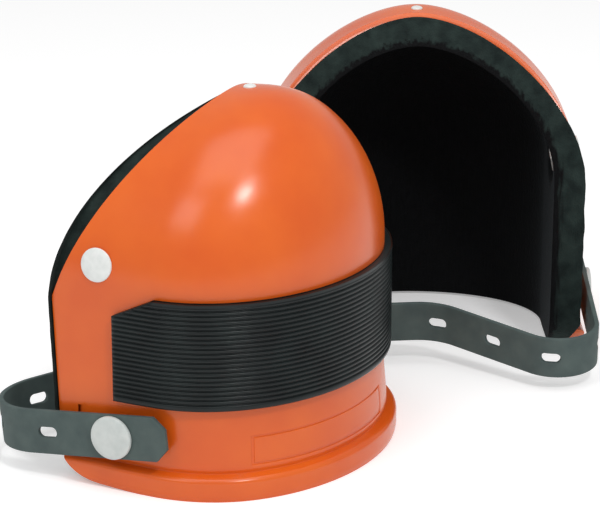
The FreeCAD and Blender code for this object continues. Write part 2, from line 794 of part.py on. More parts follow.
def cut_corners(body, side_name, side, tab, place):
    """Cuts both corners off a tab's end, across this side of the strap and nowhere else."""
    cut = S["strap_corner_cut"]
    width = S["strap_width"] / 2
    forward = V(0, -1, 0)
    outward = V(side, 0, 0)
    turn = FreeCAD.Rotation(forward, outward.cross(forward), outward, "ZXY")
    for name, up in (("upper", 1), ("lower", -1)):
        sketch = new_sketch(body, side_name + "_" + name + "_corner", "XY_Plane")
        sketch.AttachmentOffset = FreeCAD.Placement(place, turn)
        high = (width + cut) * up
        points = [(tab - cut * 2, high), (tab + cut, (width - cut * 2) * up), (tab + cut, high)]
        closed_outline(sketch, points[::up])
        punch(body, sketch, S["strap_thickness"] * 4)


# ---- the two pads ----------------------------------------------------------------------------

def make_pad(pad):
    """All the pieces of one pad, in the pad's own frame."""
    pieces = [make_shell(pad), make_tread_pad(pad), make_foam_liner(pad)]
    for spot, place, head, washer in RIVETS:
        rivet = make_rivet(pad, spot, head)
        ring = ring_body(pad + "_rivet_washer_" + spot, S[washer],
                         S["rivet_shank_radius"] + S["fixed_clearance"],
                         S["rivet_washer_thickness"])
        ring_low = ZERO - WASHER_FLOOR - S["rivet_washer_thickness"]
        rivet.Placement = place
        ring.Placement = place * FreeCAD.Placement(V(0, 0, ring_low.number), FreeCAD.Rotation())
        pieces += [rivet, ring]
    for side_name, side in SIDES:
        place = stud_place(side)
        stud = make_stud(pad, side_name)
        ring = ring_body(pad + "_stud_washer_" + side_name, S["stud_washer_radius"],
                         S["stud_tail_radius"] + S["fixed_clearance"],
                         S["stud_washer_thickness"])
        ring_low = ZERO - S["wall"] - S["stud_washer_thickness"]
        stud.Placement = place
        ring.Placement = place * FreeCAD.Placement(V(0, 0, ring_low.number), FreeCAD.Rotation())
        pieces += [stud, ring]
    pieces.append(make_strap(pad))
    return pieces


front = make_pad("front")
rear = make_pad("rear")
DOC.recompute()

aside = V(N["rear_aside"], N["rear_behind"], 0)
rear_place = FreeCAD.Placement(aside, FreeCAD.Rotation(V(0, 0, 1), N["rear_turn"]))
for piece in rear:
    piece.Placement = rear_place * piece.Placement

bounds = FreeCAD.BoundBox()
for piece in front + rear:
    bounds.add(piece.Shape.optimalBoundingBox(False))
to_origin = FreeCAD.Placement(V(-bounds.Center.x, -bounds.Center.y, 0), FreeCAD.Rotation())
for piece in front + rear:
    piece.Placement = to_origin * piece.Placement
DOC.recompute()

for thing in DOC.Objects:
    if "Invalid" in thing.State or "Error" in thing.State:
        raise RuntimeError(thing.Label + " failed: " + str(thing.State))
os.makedirs("parts", exist_ok=True)
for piece in front + rear:
    shape = piece.Shape
    if shape.isNull() or not shape.isValid() or not shape.Solids:
        raise RuntimeError(piece.Label + " has no valid solid")
    shape.exportStep("parts/" + piece.Label + ".step")
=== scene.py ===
import math

import bmesh
import bpy
import numpy as np
from mathutils import Matrix, Vector, noise


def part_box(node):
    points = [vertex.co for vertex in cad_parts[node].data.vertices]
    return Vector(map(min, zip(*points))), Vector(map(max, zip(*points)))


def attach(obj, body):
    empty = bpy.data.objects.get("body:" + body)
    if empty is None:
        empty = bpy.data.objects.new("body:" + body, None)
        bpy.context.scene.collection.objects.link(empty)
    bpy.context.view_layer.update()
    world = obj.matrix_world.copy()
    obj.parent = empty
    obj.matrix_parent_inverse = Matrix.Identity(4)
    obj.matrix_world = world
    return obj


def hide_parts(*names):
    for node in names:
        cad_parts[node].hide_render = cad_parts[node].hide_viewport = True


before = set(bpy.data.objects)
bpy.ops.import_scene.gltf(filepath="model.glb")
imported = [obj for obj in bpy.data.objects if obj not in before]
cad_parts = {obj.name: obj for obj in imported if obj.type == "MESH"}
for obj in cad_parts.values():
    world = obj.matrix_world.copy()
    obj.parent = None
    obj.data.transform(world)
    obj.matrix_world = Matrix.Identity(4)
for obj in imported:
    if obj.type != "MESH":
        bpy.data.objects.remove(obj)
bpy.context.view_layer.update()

# ---- moulded shells --------------------------------------------------------------------------
# Each shell is one cup of moulded orange polyethylene: a domed top over upright walls, a slanted
# back edge, a rolled rim that it stands on, a bare outline low on its front, and an upright slot
# in each flank.

MM = 0.001
PADS = ("front", "rear")
STUD_BACK = 19.5
STUD_HEIGHT = 28.7


def box_centre(node):
    low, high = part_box(node)
    return (low + high) / 2


def pad_place(pad):
    """Where a pad stands. Its own frame, in millimetres, has the floor at Z 0, its front toward
    -Y, the wearer's left toward +X, and straight flanks behind Y 0. Its strap studs, which cross
    it from flank to flank, say where that frame lies."""
    left = box_centre(pad + "_stud_washer_left")
    right = box_centre(pad + "_stud_washer_right")
    across = (left - right).normalized()
    turn = Matrix.Rotation(math.atan2(across.y, across.x), 4, "Z")
    stud_axis = Matrix.Translation((0, STUD_BACK * MM, STUD_HEIGHT * MM))
    return Matrix.Translation((left + right) / 2) @ turn @ stud_axis.inverted()


PLACE = {pad: pad_place(pad) for pad in PADS}


def new_piece(name, points, faces, pad, body, slot, *nodes):
    """A mesh piece from points in the pad's own millimetres, which stands for CAD nodes."""
    mesh = bpy.data.meshes.new(name)
    mesh.from_pydata([Vector(p) * MM for p in points], [], faces)
    mesh.transform(PLACE[pad])
    mesh.update()
    piece = bpy.data.objects.new(name, mesh)
    bpy.context.scene.collection.objects.link(piece)
    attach(piece, body)
    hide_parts(*nodes)
    return piece


def tidy_mesh(piece, merge=0.0):
    """Joins points that coincide, drops faces without area and turns all faces outward."""
    work = bmesh.new()
    work.from_mesh(piece.data)
    bmesh.ops.remove_doubles(work, verts=work.verts, dist=max(merge, 0.002) * MM)
    bmesh.ops.dissolve_degenerate(work, edges=work.edges, dist=0.001 * MM)
    bmesh.ops.recalc_face_normals(work, faces=work.faces)
    work.to_mesh(piece.data)
    work.free()


def round_edges(piece, width, angle, segments=2):
    """Breaks the piece's sharp edges with a bevel, then shades it smooth."""
    bevel = piece.modifiers.new("broken_edges", "BEVEL")
    bevel.width = width * MM
    bevel.segments = segments
    bevel.limit_method = "ANGLE"
    bevel.angle_limit = math.radians(angle)
    bevel.use_clamp_overlap = True
    bevel.harden_normals = False
    bake_modifiers(piece)
    shade_smooth(piece)


def bake_modifiers(piece):
    """Replaces the piece's mesh by the one that its modifiers make of it."""
    bpy.context.view_layer.update()
    seen = piece.evaluated_get(bpy.context.evaluated_depsgraph_get())
    mesh = bpy.data.meshes.new_from_object(seen)
    mesh.name = piece.name
    piece.modifiers.clear()
    piece.data = mesh


def shade_smooth(piece, angle=35):
    for face in piece.data.polygons:
        face.use_smooth = True
    piece.data.set_sharp_from_angle(angle=math.radians(angle))


HALF_WIDTH = 89.0
NOSE_DEPTH = 69.5
WING_LENGTH = 56.0
DOME_BASE = 103.0
DOME_RISE = 84.0
ARCH_LEAN = 1.8
ARCH_FULLNESS = 0.56
NOSE_FULLNESS = 0.43
CROWN_DROP = 3.5
HEEL_LIFT = 2.2
WALL = 3.0
KINK_HEIGHT = 93.0
EDGE_TOP_FORWARD = -2.0
EDGE_ARC_RADIUS = 400.0
RIM_SETBACK = 3.0
RIM_CORNER_RADIUS = 24.0
RIM_HEIGHT = 12.5
RIM_FLARE = 5.0
FOOT_DRAFT = 1.8
RIM_NOSE = 2.0
PANEL_ASIDE = -24.9
PANEL_HALF_WIDTH = 45.6
PANEL_BOTTOM = 16.5
PANEL_HEIGHT = 14.5
PANEL_LINE = 0.9
PANEL_DEPTH = 0.5
TREAD_BOTTOM = 45.5
SLOT_BACK = STUD_BACK + 20.8
SLOT_WIDTH = 2.5
SLOT_BOTTOM = 13.0
SLOT_HEIGHT = 26.3


def smooth_step(value, start, end):
    share = min(max((value - start) / (end - start), 0.0), 1.0)
    return share * share * (3 - 2 * share)


class Edge:
    """The slanted back edge, seen from the side: how far back it lies at each height."""

    def __init__(self, foot, kink, kink_height, radius, foot_radius=0.0):
        self.foot = foot
        self.kink = kink
        self.kink_height = kink_height
        self.radius = radius
        self.foot_radius = foot_radius
        crown = np.array([-EDGE_TOP_FORWARD, DOME_BASE + DOME_RISE])
        start = np.array([kink, kink_height])
        chord = crown - start
        length = np.linalg.norm(chord)
        inward = np.array([-chord[1], chord[0]]) / length
        self.centre = start + chord / 2 + inward * math.sqrt(radius ** 2 - (length / 2) ** 2)

    def back(self, height):
        if height > self.kink_height:
            rise = height - self.centre[1]
            return self.centre[0] + math.sqrt(max(self.radius ** 2 - rise ** 2, 0.0))
        share = (height - self.foot_radius) / (self.kink_height - self.foot_radius)
        if share >= 0:
            return self.foot + (self.kink - self.foot) * share
        low = self.foot_radius - height
        return self.foot - self.foot_radius + math.sqrt(self.foot_radius ** 2 - low ** 2)


def crown_drop(y, up):
    """How far the dome falls away toward the back of its crown."""
    return CROWN_DROP * up ** 2 * smooth_step(y, -32.0, 6.0)


def heel_lift(y, height):
    """How far the foot rises off the floor toward the back of the flanks."""
    return HEEL_LIFT * smooth_step(y, 4.0, 44.0) * max(1 - height / 25.0, 0.0)


class Cup:
    """The pad's outer surface moved outward by an offset. Each row is level, and a place on it is
    given by its run, the length along the row from the middle of the front."""

    STEPS = 720
    SEARCH_STEPS = 60

    def __init__(self, offset, edge):
        self.offset = offset
        self.edge = edge
        self.wide = HALF_WIDTH + offset
        self.deep = NOSE_DEPTH + offset
        self.rise = DOME_RISE + offset
        angle = np.linspace(0, math.pi / 2, self.STEPS)
        x = self.wide * np.sin(angle)
        y = -self.deep * np.cos(angle)
        steps = np.hypot(np.diff(x), np.diff(y))
        self.angles = angle
        self.lengths = np.concatenate([[0], np.cumsum(steps)])
        self.quarter = self.lengths[-1]

    def up(self, height):
        return min(max(height - DOME_BASE, 0) / self.rise, 1.0)

    def shrink(self, height):
        """The nose's depth at a height of the dome, over its depth at the dome's foot."""
        return (1 - self.up(height) ** 2) ** NOSE_FULLNESS

    def narrow(self, height):
        """The same for the width: the arch is a little leaner than a half ellipse."""
        return (1 - self.up(height) ** ARCH_LEAN) ** ARCH_FULLNESS

    def half_length(self, height):
        """The row's length from the middle of the front to the back edge."""
        scale = self.shrink(height)
        back = self.edge.back(height)
        if back >= 0:
            return scale * self.quarter + back
        cosine = min(-back / max(self.deep * scale, 1e-9), 1.0)
        return scale * float(np.interp(math.acos(cosine), self.angles, self.lengths))

    def point(self, run, height, out=0.0):
        """The point at a run from the front's middle, positive on the left, moved out."""
        scale = self.shrink(height)
        side = -1 if run < 0 else 1
        run = abs(run)
        wide = self.wide * self.narrow(height) + out
        deep = self.deep * scale + out
        if run >= scale * self.quarter:
            x = side * wide
            y = run - scale * self.quarter
        else:
            angle = float(np.interp(run / max(scale, 1e-9), self.lengths, self.angles))
            x = side * wide * math.sin(angle)
            y = -deep * math.cos(angle)
        z = height - crown_drop(y, self.up(height)) + heel_lift(y, height)
        return np.array([x, y, z])

    def top(self):
        """The highest row: where the back edge meets the crown, or the crown's own ridge."""
        low, high = DOME_BASE, DOME_BASE + self.rise
        if self.edge.back(high) >= 0:
            return high
        for _ in range(self.SEARCH_STEPS):
            middle = (low + high) / 2
            if -self.edge.back(middle) < self.deep * self.shrink(middle):
                low = middle
            else:
                high = middle
        return low

    def dome_heights(self, count):
        """Heights of the dome's rows, closer together toward the top."""
        last = math.asin(min((self.top() - DOME_BASE) / self.rise, 1.0))
        return [DOME_BASE + self.rise * math.sin(last * k / count) for k in range(1, count + 1)]


SHELL_EDGE = Edge(WING_LENGTH - RIM_SETBACK, WING_LENGTH, KINK_HEIGHT, EDGE_ARC_RADIUS,
                  RIM_CORNER_RADIUS)
RIM_SHOULDER_FOOT = RIM_HEIGHT * 0.74
RIM_FOOT_ROUND = 1.1
RIM_LINE_DEPTH = 0.4


def foot_profile(height, nose):
    """How far the wall's foot stands out: a rolled rim with a round shoulder, and above it a
    slight draft. The nose, where nose is 1, stands out a little more than the flanks."""
    draft = FOOT_DRAFT * nose * (1 - smooth_step(height, RIM_HEIGHT, TREAD_BOTTOM - 2))
    rim = RIM_FLARE + RIM_NOSE * nose
    if height < RIM_SHOULDER_FOOT:
        return rim - RIM_FOOT_ROUND * (1 - smooth_step(height, -2.5, 3.2))
    if height < RIM_HEIGHT:
        bulge = (height - RIM_SHOULDER_FOOT) / (RIM_HEIGHT - RIM_SHOULDER_FOOT)
        return draft + (rim - draft) * math.sqrt(max(1 - bulge ** 2, 0.0))
    line = 1 - smooth_step(height, RIM_HEIGHT + 0.4, RIM_HEIGHT + 2.4)
    return draft - RIM_LINE_DEPTH * line


def with_marks(values, marks, gap):
    """A sorted list of values in which each mark stands, and no value is nearer than gap."""
    kept = [v for v in values if all(abs(v - mark) > gap for mark in marks)]
    return sorted(kept + list(marks))


def sheet_faces(rows, columns, base, skip=()):
    """The faces of a grid of points that starts at a base, without the cells to skip."""
    faces = []
    for i in range(rows - 1):
        for j in range(columns - 1):
            if (i, j) not in skip:
                a = base + i * columns + j
                faces.append((a, a + 1, a + columns + 1, a + columns))
    return faces


def join_borders(faces, first, second):
    """Closes the gap between two lists of points of one length."""
    for k in range(len(first) - 1):
        faces.append((first[k], first[k + 1], second[k + 1], second[k]))


SHELL_COLUMNS = 167
RIM_ROWS = 27
WALL_ROWS = 38
DOME_ROWS = 72
MARK_SLOPE = 0.15
SHELL_EDGE_BREAK = 0.55


def make_shell(pad):
    outer = Cup(0.0, SHELL_EDGE)
    inner = Cup(-WALL, SHELL_EDGE)
    full = outer.half_length(RIM_HEIGHT * 2)

    def run_of(x):
        run = float(np.interp(math.asin(abs(x) / HALF_WIDTH), outer.angles, outer.lengths))
        return math.copysign(run, x)

    panel_right = PANEL_ASIDE - PANEL_HALF_WIDTH
    panel_left = PANEL_ASIDE + PANEL_HALF_WIDTH
    right_out, right_in = run_of(panel_right), run_of(panel_right + PANEL_LINE)
    left_in, left_out = run_of(panel_left - PANEL_LINE), run_of(panel_left)
    slot_front = outer.quarter + SLOT_BACK
    slot_end = slot_front + SLOT_WIDTH
    marks = [right_out - MARK_SLOPE, right_out, right_in, right_in + MARK_SLOPE,
             left_in - MARK_SLOPE, left_in, left_out, left_out + MARK_SLOPE,
             -full, -slot_end, -slot_front, slot_front, slot_end, full]
    runs = with_marks(np.linspace(-full, full, SHELL_COLUMNS), marks, 0.6)
    panel_top = PANEL_BOTTOM + PANEL_HEIGHT
    lines = []
    for foot in (PANEL_BOTTOM, panel_top - PANEL_LINE):
        head = foot + PANEL_LINE
        lines += [foot - MARK_SLOPE, foot, head, head + MARK_SLOPE]
    slot_top = SLOT_BOTTOM + SLOT_HEIGHT
    rim_rows = list(np.linspace(0, RIM_HEIGHT, RIM_ROWS)) + [RIM_HEIGHT + 0.5, RIM_HEIGHT + 1.4]
    wall_rows = list(np.linspace(RIM_HEIGHT + 2.6, DOME_BASE, WALL_ROWS))
    heights = with_marks(rim_rows + wall_rows, lines + [SLOT_BOTTOM, slot_top], 0.1)
    outer_heights = heights + outer.dome_heights(DOME_ROWS)
    inner_heights = heights + inner.dome_heights(DOME_ROWS)
    columns = len(runs)
    rows = len(outer_heights)

    def in_groove(run, height):
        if not (right_out <= run <= left_out and PANEL_BOTTOM <= height <= panel_top):
            return False
        upright = run <= right_in or run >= left_in
        level = height <= PANEL_BOTTOM + PANEL_LINE or height >= panel_top - PANEL_LINE
        return upright or level

    def row_runs(cup, height):
        """The runs fitted to a row: those in front of the slots' back stay upright where the
        row is long enough, and toward the dome all of them draw together."""
        reach = cup.half_length(height)
        held = slot_end + 0.5
        knot = min(held, reach - (full - held) * 0.6)
        gather = smooth_step(height, 45.0, 100.0)
        straight = np.interp(np.abs(runs), [0.0, held, full], [0.0, knot, reach])
        even = np.abs(runs) * reach / full
        return np.sign(runs) * (straight * (1 - gather) + even * gather)

    points = []
    for height in outer_heights:
        for mark, run in zip(runs, row_runs(outer, height)):
            nose = 1 - smooth_step(abs(run), outer.quarter * 0.6, outer.quarter)
            out = foot_profile(height, nose) if height < TREAD_BOTTOM else 0.0
            if in_groove(mark, height):
                out -= PANEL_DEPTH
            points.append(outer.point(run, height, out))
    for height in inner_heights:
        points += [inner.point(run, height) for run in row_runs(inner, height)]
    holes = set()
    loops = []
    i0 = heights.index(SLOT_BOTTOM)
    i1 = heights.index(slot_top)
    for first, last in ((slot_front, slot_end), (-slot_end, -slot_front)):
        j0 = runs.index(first)
        j1 = runs.index(last)
        holes |= {(i, j) for i in range(i0, i1) for j in range(j0, j1)}
        loop = [(i0, j) for j in range(j0, j1)] + [(i, j1) for i in range(i0, i1)]
        loop += [(i1, j) for j in range(j1, j0, -1)] + [(i, j0) for i in range(i1, i0 - 1, -1)]
        loops.append([i * columns + j for i, j in loop])
    base = rows * columns
    faces = sheet_faces(rows, columns, 0, holes) + sheet_faces(rows, columns, base, holes)
    join_borders(faces, range(columns), range(base, base + columns))
    for j in (0, columns - 1):
        edge = [i * columns + j for i in range(rows)]
        join_borders(faces, edge, [base + k for k in edge])
    for loop in loops:
        join_borders(faces, loop, [base + k for k in loop])
    shell = new_piece(pad + "_shell_moulding", points, faces, pad, pad + "_pad",
                      "shell_plastic", pad + "_shell")
    tidy_mesh(shell)
    round_edges(shell, SHELL_EDGE_BREAK, 50)
    return shell


def linear(hex_colour):
    """An sRGB hex colour as linear light."""
    channels = [int(hex_colour[k:k + 2], 16) / 255 for k in (1, 3, 5)]
    return [c / 12.92 if c <= 0.04045 else ((c + 0.055) / 1.055) ** 2.4 for c in channels] + [1]


def add_node(tree, kind, links=None, **settings):
    """Adds a node with its settings. links maps an input's name or index to another's output."""
    node = tree.nodes.new("ShaderNode" + kind)
    for key, value in settings.items():
        if hasattr(node, key):
            setattr(node, key, value)
        else:
            node.inputs[key.replace("_", " ")].default_value = value
    for key, output in (links or {}).items():
        tree.links.new(output, node.inputs[key])
    return node


def set_tones(ramp, *tones):
    """Gives a ramp's stops their places and sRGB hex colours."""
    for stop, (place, colour) in zip(ramp.elements, tones):
        stop.position = place
        stop.color = linear(colour)


def spaced(size):
    """The texture scale at which a pattern repeats about every so many millimetres."""
    return 1 / (size * MM)


def new_material(name):
    material = bpy.data.materials.new(name)
    material.use_nodes = True
    tree = material.node_tree
    tree.nodes.clear()
    shader = add_node(tree, "BsdfPrincipled")
    add_node(tree, "OutputMaterial", {"Surface": shader.outputs[0]})
    return material, tree, shader


def polyethylene_moulded():
    """Moulded orange polyethylene: a waxy gloss, a faint waviness, and scuffs in use. Its colour
    drifts over about 36 mm, its skin waves over about 14 mm, and scuffs are about 6 mm long. The
    mould's grain of about 0.15 mm is too fine to show, so it is drawn at 0.85 mm."""
    material, tree, shader = new_material("polyethylene_moulded_orange")
    where = add_node(tree, "TexCoord").outputs["Object"]
    cloud = add_node(tree, "TexNoise", {"Vector": where}, Scale=spaced(36.0), Detail=3.0)
    tint = add_node(tree, "ValToRGB", {"Fac": cloud.outputs["Fac"]})
    set_tones(tint.color_ramp, (0.3, "#dc5a15"), (0.72, "#e5661a"))
    tree.links.new(tint.outputs["Color"], shader.inputs["Base Color"])
    scuff = add_node(tree, "TexNoise", {"Vector": where}, Scale=spaced(6.3), Detail=5.0)
    rough = add_node(tree, "MapRange", {"Value": scuff.outputs["Fac"]})
    rough.inputs["To Min"].default_value = 0.2
    rough.inputs["To Max"].default_value = 0.29
    tree.links.new(rough.outputs["Result"], shader.inputs["Roughness"])
    wave = add_node(tree, "TexNoise", {"Vector": where}, Scale=spaced(14.0), Detail=2.0)
    grain = add_node(tree, "TexNoise", {"Vector": where}, Scale=spaced(0.85), Detail=1.0)
    fine = add_node(tree, "Math", {0: grain.outputs["Fac"]}, operation="MULTIPLY")
    fine.inputs[1].default_value = 0.025
    both = add_node(tree, "Math", {0: wave.outputs["Fac"], 1: fine.outputs[0]}, operation="ADD")
    bump = add_node(tree, "Bump", {"Height": both.outputs[0]}, Strength=0.2)
    bump.inputs["Distance"].default_value = 0.4 * MM
    tree.links.new(bump.outputs["Normal"], shader.inputs["Normal"])
    shader.inputs["IOR"].default_value = 1.51
    shader.inputs["Subsurface Weight"].default_value = 0.06
    shader.inputs["Subsurface Radius"].default_value = (1.0, 0.35, 0.15)
    shader.inputs["Subsurface Scale"].default_value = 2.0 * MM
    return material


SHELL_PLASTIC = polyethylene_moulded()
for pad in PADS:
    make_shell(pad).data.materials.append(SHELL_PLASTIC)


# ---- ribbed tread pads -----------------------------------------------------------------------
# Each shell carries a black rubber tread pad, moulded with level ribs under a plain border and
# glued to the shell's front, with its two upper corners cut off at a slant.

TREAD_SEAT = 0.15
TREAD_THICKNESS = 3.8
TREAD_TOP = TREAD_BOTTOM + 53.3
TREAD_END = 21.3
TREAD_CORNER_RUN = 21.0
TREAD_CORNER_DROP = 10.0
TREAD_BORDER = 3.0
RIB_PITCH = 2.35
RIB_GAP = 0.95
RIB_DEPTH = 0.9
RIB_COUNT = 22
RIB_ROUNDING = 0.42
TREAD_LIP = 0.9


def tread_rows():
    """Pairs of a height and a depth that follow the ribs from the lower edge to the upper."""
    rows = [(TREAD_BOTTOM, 1.0), (TREAD_BOTTOM + 0.3, 0.3), (TREAD_BOTTOM + 1.0, 0.0)]
    first = TREAD_BOTTOM + TREAD_BORDER
    for k in range(RIB_COUNT):
        low = first + k * RIB_PITCH
        high = low + RIB_GAP
        rows += [(low - RIB_ROUNDING, 0.0), (low - 0.12, 0.16), (low + 0.08, RIB_DEPTH * 0.62),
                 (low + 0.28, RIB_DEPTH), (high - 0.28, RIB_DEPTH),
                 (high - 0.08, RIB_DEPTH * 0.62), (high + 0.12, 0.16),
                 (high + RIB_ROUNDING, 0.0)]
    rows += [(TREAD_TOP - 1.0, 0.0), (TREAD_TOP - 0.3, 0.3), (TREAD_TOP, 1.0)]
    return rows


def make_tread(pad):
    seat = Cup(TREAD_SEAT, SHELL_EDGE)
    face = Cup(TREAD_SEAT + TREAD_THICKNESS, SHELL_EDGE)

    def reach_at(height):
        """How far a row reaches from the middle, less where the upper corners are cut off."""
        corner = max(height - (TREAD_TOP - TREAD_CORNER_DROP), 0) / TREAD_CORNER_DROP
        return face.quarter + TREAD_END - TREAD_CORNER_RUN * corner

    shares = with_marks(np.linspace(0, 1, 70), [0.9965, 0.9985], 0.0005)
    columns = [-s for s in reversed(shares[1:])] + shares
    rows = tread_rows()
    points = []
    for height, depth in rows:
        for share in columns:
            lip = TREAD_LIP * smooth_step(abs(share), 0.994, 1.0)
            points.append(face.point(reach_at(height) * share, height, -max(depth, lip)))
    count = len(rows) * len(columns)
    ratio = seat.quarter / face.quarter
    for height, depth in rows:
        for share in columns:
            run = reach_at(height) * share
            side = min(abs(run), face.quarter) * ratio + max(abs(run) - face.quarter, 0)
            points.append(seat.point(math.copysign(side, run), height))
    width = len(columns)
    faces = sheet_faces(len(rows), width, 0) + sheet_faces(len(rows), width, count)
    for k in (0, (len(rows) - 1) * width):
        join_borders(faces, range(k, k + width), range(count + k, count + k + width))
    for j in (0, width - 1):
        edge = [i * width + j for i in range(len(rows))]
        join_borders(faces, edge, [count + k for k in edge])
    tread = new_piece(pad + "_tread_moulding", points, faces, pad, pad + "_pad",
                      "tread_rubber", pad + "_tread_pad")
    tidy_mesh(tread)
    shade_smooth(tread, 60)
    return tread


def rubber_black():
    """Black moulded rubber: a satin shine that the ribs break up, with a faint grey-green bloom
    that drifts over about 18 mm. Its pores of about 0.1 mm are too fine to show, so they are drawn
    at 0.7 mm."""
    material, tree, shader = new_material("rubber_moulded_black")
    where = add_node(tree, "TexCoord").outputs["Object"]
    bloom = add_node(tree, "TexNoise", {"Vector": where}, Scale=spaced(18.0), Detail=4.0)
    tint = add_node(tree, "ValToRGB", {"Fac": bloom.outputs["Fac"]})
    set_tones(tint.color_ramp, (0.34, "#0c1213"), (0.7, "#172020"))
    tree.links.new(tint.outputs["Color"], shader.inputs["Base Color"])
    pores = add_node(tree, "TexNoise", {"Vector": where}, Scale=spaced(0.7), Detail=2.0)
    rough = add_node(tree, "MapRange", {"Value": pores.outputs["Fac"]})
    rough.inputs["To Min"].default_value = 0.24
    rough.inputs["To Max"].default_value = 0.36
    tree.links.new(rough.outputs["Result"], shader.inputs["Roughness"])
    shader.inputs["Specular IOR Level"].default_value = 0.28
    bump = add_node(tree, "Bump", {"Height": pores.outputs["Fac"]}, Strength=0.35)
    bump.inputs["Distance"].default_value = 0.08 * MM
    tree.links.new(bump.outputs["Normal"], shader.inputs["Normal"])
    return material


TREAD_RUBBER = rubber_black()
for pad in PADS:
    make_tread(pad).data.materials.append(TREAD_RUBBER)


# ---- foam liners -----------------------------------------------------------------------------
# Each shell is lined with thick closed-cell foam that has a brushed black knit on its inner face.
# It is cut to shape, so its edge behind the shell shows the bare grey-green foam.

LINER_OUTSIDE = 3.2
LINER_THICKNESS = 12.0
LINER_BOTTOM = 1.5
LINER_PROUD = 1.2
LINER_EDGE = Edge(WING_LENGTH - RIM_SETBACK + LINER_PROUD, WING_LENGTH + LINER_PROUD,
                  KINK_HEIGHT - 1, 138.0, RIM_CORNER_RADIUS)
LINER_SWELL = 2.2
LINER_ROWS = 52
LINER_HALF_COLUMNS = 72
LIP_ROWS = 10
RIVET_BACK = 31.0
RIVET_HEIGHT = 112.0
CROWN_RIVET_FORWARD = 6.5
WASHER_RADII = {"left": 10.0, "right": 10.0, "top": 5.0}
WASHER_PRESS = 2.8
# Where the swelling of the cut edge starts. On one side a strap turns close round the foam and
# keeps its edge flat further up.
SWELL_FOOT = 3.0
STRAP_PRESSES = ("rear", 1)
PRESSED_FOOT = 58.0


def sag(place, size, seed):
    """An even wobble between -1 and 1 for a hand-cut edge."""
    return noise.noise(Vector(place) / size + Vector((seed, seed * 0.7, 0)))


def rivet_place(spot):
    """The shell's outer face at a rivet, with Z outward."""
    if spot == "top":
        forward = CROWN_RIVET_FORWARD / NOSE_DEPTH
        up = math.sqrt(1 - forward ** (1 / NOSE_FULLNESS))
        height = DOME_BASE + up * DOME_RISE - crown_drop(-CROWN_RIVET_FORWARD, up)
        point = Vector((0, -CROWN_RIVET_FORWARD, height))
        outward = Vector((0, 0.03, 1))
    else:
        side = 1 if spot == "left" else -1
        up = (RIVET_HEIGHT - DOME_BASE) / DOME_RISE
        across = math.sqrt(1 - up ** 2)
        point = Vector((side * HALF_WIDTH * across, RIVET_BACK, RIVET_HEIGHT))
        outward = Vector((side * across / HALF_WIDTH, 0, up / DOME_RISE))
    return Matrix.Translation(point) @ outward.to_track_quat("Z", "Y").to_matrix().to_4x4()


def press(point):
    """Moves a point of the foam's face outward where a rivet's washer presses it in."""
    moved = Vector(point)
    for spot, radius in WASHER_RADII.items():
        place = rivet_place(spot)
        local = place.inverted() @ moved
        across = math.hypot(local.x, local.y)
        if abs(local.z) < LINER_THICKNESS * 2 and across < radius + 9:
            depth = WASHER_PRESS * (1 - smooth_step(across, radius + 0.5, radius + 8))
            moved = place @ (local + Vector((0, 0, depth)))
    return moved


def spread_edge(cap, height, side, seed):
    """The foam's outer border where the cut edge swells over the shell's edge."""
    run = cap.half_length(height) * side
    loose = 0.5 * sag(cap.point(run, height), 7.0, seed) - 0.3
    return cap.point(run, height, loose)


def make_liner(pad, seed):
    outer = Cup(-LINER_OUTSIDE, LINER_EDGE)
    inner = Cup(-LINER_OUTSIDE - LINER_THICKNESS, LINER_EDGE)
    cap = Cup(LINER_SWELL, LINER_EDGE)
    shares = [k / LINER_HALF_COLUMNS for k in range(LINER_HALF_COLUMNS + 1)]
    columns = [-s for s in reversed(shares[1:])] + shares
    wall = list(np.linspace(LINER_BOTTOM, DOME_BASE, LINER_ROWS))
    outer_rows = wall + outer.dome_heights(LINER_ROWS)
    inner_rows = wall + inner.dome_heights(LINER_ROWS)
    cap_rows = wall + cap.dome_heights(LINER_ROWS)
    width = len(columns)
    rows = len(outer_rows)
    points = []
    for height in outer_rows:
        reach = outer.half_length(height)
        points += [outer.point(reach * share, height) for share in columns]
    for height in inner_rows:
        reach = inner.half_length(height)
        points += [press(inner.point(reach * share, height)) for share in columns]
    base = rows * width
    knit = [0.0] * base + [1.0] * base
    faces = sheet_faces(rows, width, 0) + sheet_faces(rows, width, base)
    for side, sign in ((0, -1), (width - 1, 1)):
        border = [i * width + side for i in range(rows)]
        flat = PRESSED_FOOT if (pad, sign) == STRAP_PRESSES else SWELL_FOOT
        swell = []
        for i in range(rows):
            height = cap_rows[i]
            share = smooth_step(height, flat, flat + 15.0)
            share *= 1 - 0.75 * smooth_step(height, 95.0, 175.0)
            a = np.array(points[border[i]])
            swell.append(a + (spread_edge(cap, height, sign, seed) - a) * share)
        previous = border
        for k in range(LIP_ROWS):
            share = k / LIP_ROWS
            ring = []
            for i in range(rows):
                b = np.array(points[base + border[i]])
                mid = swell[i] + (b - swell[i]) * share
                uneven = [0.35 * sag(mid, 9.0, seed), 0.3 + 0.5 * sag(mid, 6.0, seed), 0.0]
                mid = mid + np.array(uneven) * math.sin(math.pi * share)
                ring.append(len(points))
                points.append(mid)
                knit.append(share)
            join_borders(faces, previous, ring)
            previous = ring
        join_borders(faces, previous, [base + k for k in border])
    foot = range(width)
    join_borders(faces, foot, [base + k for k in foot])
    liner = new_piece(pad + "_foam_lining", points, faces, pad, pad + "_pad", "liner_foam",
                      pad + "_foam_liner")
    side_of = liner.data.attributes.new("knit_side", "FLOAT", "POINT")
    side_of.data.foreach_set("value", knit)
    tidy_mesh(liner)
    round_edges(liner, 1.3, 55, 3)
    return liner


